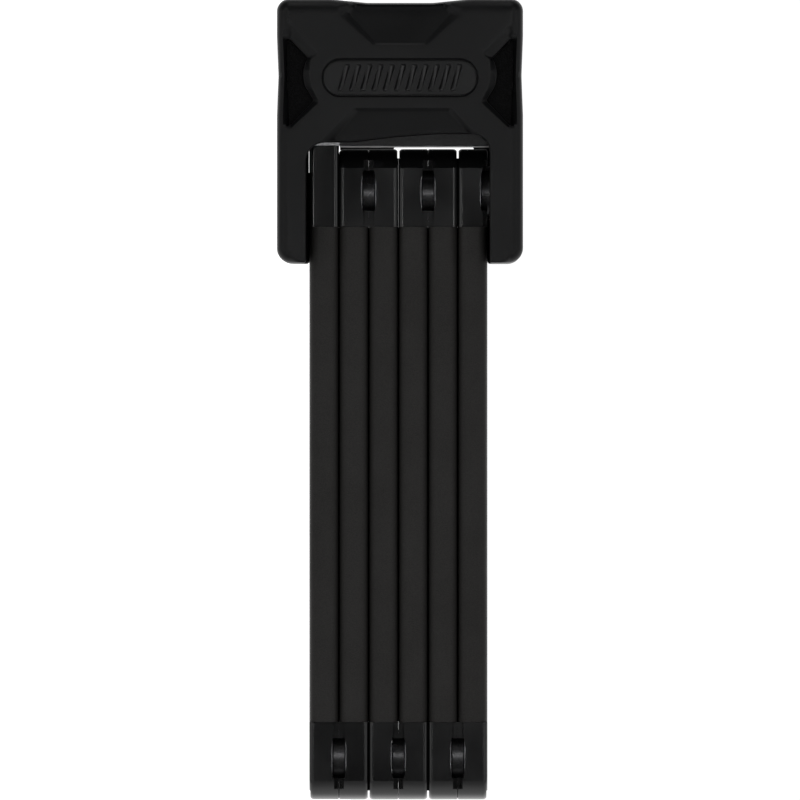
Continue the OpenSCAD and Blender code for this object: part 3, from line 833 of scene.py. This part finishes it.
def make_links():
    """Sleeve, end caps, rivet and spacer of every link."""
    cap, plain_cap, tongue_cap = cap_master(), cap_master(stepped=False), cap_master(tongue=TONGUE)
    sleeve = sleeve_master()
    middle = (NEAR_X + FAR_X) / 2
    for k in LINKS:
        body, z = f"link_{k}", link_z(k)
        odd = k % 2 == 1
        near = {5: plain_cap, 6: tongue_cap}.get(k, cap)
        place(stamp(near, f"link_{k}_near_cap", NEAR_X, z, True, not odd),
              body, "cap_gloss", f"link_{k}_end_caps")
        place(stamp(cap, f"link_{k}_far_cap", FAR_X, z, False, odd),
              body, "cap_gloss", f"link_{k}_end_caps")
        place(stamp(sleeve, f"link_{k}_soft_sleeve", middle, z, False, False),
              body, "sleeve_soft", f"link_{k}_sleeve")
        make_rivet(k)
    for master in (cap, plain_cap, tongue_cap, sleeve):
        bpy.data.objects.remove(master)


def make_rivet(k):
    """Rivet with domed heads, and its spacer with chamfered edges."""
    body = "head" if k == 1 else f"link_{k - 1}"
    x = NEAR_X if k % 2 else FAR_X
    low, high = (b[2] for b in cad_box(f"rivet_{k}"))
    r, shank, t = 6.5, 4.0, 1.45
    head = [(0, 0), (2.2, 0.0), (4.6, 0.22), (6.0, 0.62), (r, 1.05), (r, t)]
    profile = head + [(shank, t), (shank, high - low - t)]
    profile += [(a, high - low - b) for a, b in reversed(head)]
    place(lathe(f"rivet_{k}_turned", profile, (x, 0, low), (0, 0, 1), RIVET), body,
          "rivet_steel", f"rivet_{k}")
    low, high = (b[2] for b in cad_box(f"washer_{k}"))
    t, r, c, hole = high - low, 8.0, 0.35, shank + 0.02
    profile = [(hole, 0), (r - c, 0), (r, c), (r, t - c), (r - c, t), (hole, t)]
    place(lathe(f"washer_{k}_turned", profile, (x, 0, low), (0, 0, 1), RIVET, 72),
          body, "rivet_steel", f"washer_{k}")


# ---- stage, light and camera ---------------------------------------------------------------

def seen_white(tree, level, emission):
    """White to the eye; what the object gets instead is the level."""
    path = tree.nodes.new("ShaderNodeLightPath")
    mix = tree.nodes.new("ShaderNodeMix")
    mix.data_type = "FLOAT"
    mix.inputs["B"].default_value = 1.05
    tree.links.new(path.outputs["Is Camera Ray"], mix.inputs["Factor"])
    tree.links.new(level, mix.inputs["A"])
    tree.links.new(mix.outputs["Result"], emission)


def make_stage():
    """Pale floor under the lock; only the camera sees it, so light reaches the lock from all sides."""
    size = 6000
    z = CAD_BOX[0][2] / MM - 0.05
    corners = ((-size, -size), (size, -size), (size, size), (-size, size))
    verts = [(x * MM, y * MM, z * MM) for x, y in corners]
    mat, tree, bsdf = shader("floor_white", (0.8, 0.8, 0.8), 0.9)
    bsdf.inputs["Emission Color"].default_value = (1, 1, 1, 1)
    none = tree.nodes.new("ShaderNodeValue")
    none.outputs[0].default_value = 0
    seen_white(tree, none.outputs[0], bsdf.inputs["Emission Strength"])
    floor = make_object("floor", verts, [(0, 1, 2, 3)], mat)
    for ray in ("diffuse", "glossy", "transmission", "shadow"):
        setattr(floor, "visible_" + ray, False)


def spread(tree, value, start, end, low, high):
    """Value mapped from one range to another and held at its ends."""
    node = tree.nodes.new("ShaderNodeMapRange")
    for name, number in (("From Min", start), ("From Max", end), ("To Min", low), ("To Max", high)):
        node.inputs[name].default_value = number
    tree.links.new(value, node.inputs["Value"])
    return node.outputs["Result"]


def combine(tree, operation, a, b):
    """Two values joined by a maths operation."""
    node = tree.nodes.new("ShaderNodeMath")
    node.operation = operation
    tree.links.new(a, node.inputs[0])
    tree.links.new(b, node.inputs[1])
    return node.outputs["Value"]


def make_world():
    """Light tent: bright behind, at the sides and past the far ends, dark in front and over the head."""
    world = bpy.data.worlds.new("studio")
    world.use_nodes = True
    tree = world.node_tree
    back = tree.nodes["Background"]
    back.inputs["Color"].default_value = (1, 1, 1, 1)
    coords = tree.nodes.new("ShaderNodeTexCoord")
    split = tree.nodes.new("ShaderNodeSeparateXYZ")
    tree.links.new(coords.outputs["Generated"], split.inputs["Vector"])
    around = spread(tree, split.outputs["Y"], -0.55, 0.1, 0.02, 0.7)
    along = spread(tree, split.outputs["X"], -0.5, 0.4, 0.15, 1.0)
    behind = spread(tree, split.outputs["Y"], 0.1, 0.7, 0.0, 1.0)
    level = combine(tree, "MAXIMUM", combine(tree, "MULTIPLY", around, along), behind)
    seen_white(tree, level, back.inputs["Strength"])
    bpy.context.scene.world = world


def area_light(name, place_at, aim, size, power):
    """Soft rectangular light that points at a place; places in metres from the lock's middle."""
    data = bpy.data.lights.new(name, "AREA")
    data.shape = "RECTANGLE"
    data.size, data.size_y = size
    data.energy = power
    obj = bpy.data.objects.new(name, data)
    middle = Vector((0, 0, MID_Z * MM))
    obj.location = middle + Vector(place_at)
    obj.rotation_euler = (Vector(aim) - Vector(place_at)).to_track_quat("-Z", "Y").to_euler()
    bpy.context.scene.collection.objects.link(obj)


def make_lights():
    """Soft lights over the head, at both sides and past the far ends, and small ones in front."""
    make_world()
    bpy.context.scene.view_settings.view_transform = "Standard"
    area_light("over_head", (-1.3, -0.45, 0.0), (0, 0, 0), (0.9, 0.4), 1.2)
    for side, name in ((-1, "latch"), (1, "pivot")):
        area_light(f"side_{name}", (0.0, -0.8, side * 1.0), (0, 0, 0), (0.5, 0.9), 1.1)
        area_light(f"upper_{name}", (-0.65, -1.1, side * 0.65), (0, 0, 0), (0.45, 0.45), 0.9)
        area_light(f"lower_{name}", (0.65, -1.1, side * 0.65), (0, 0, 0), (0.45, 0.45), 1.1)
        area_light(f"front_{name}", (0.0, -1.45, side * 0.3), (0, 0, 0), (0.1, 0.1), 0.9)


def make_camera():
    """Long lens square on to the relief face, turned so that the head is up."""
    data = bpy.data.cameras.new("camera")
    data.lens = 600
    data.sensor_width = 36
    data.clip_end = 20
    obj = bpy.data.objects.new("camera", data)
    bpy.context.scene.collection.objects.link(obj)
    low, high = (Vector(c) for c in CAD_BOX)
    middle = (low + high) / 2
    height = (high.x - low.x) * 1.0015
    distance = height * data.lens / data.sensor_width
    obj.location = (middle.x, middle.y - distance, middle.z)
    up, look = Vector((-1, 0, 0)), Vector((0, 1, 0))
    right = look.cross(up)
    turn = Matrix((right, up, -look)).transposed()
    obj.rotation_euler = turn.to_euler()
    bpy.context.scene.camera = obj


dress_frame()
make_camera()
make_lights()
make_stage()
make_covers()
make_badge()
make_shutter()
make_links()
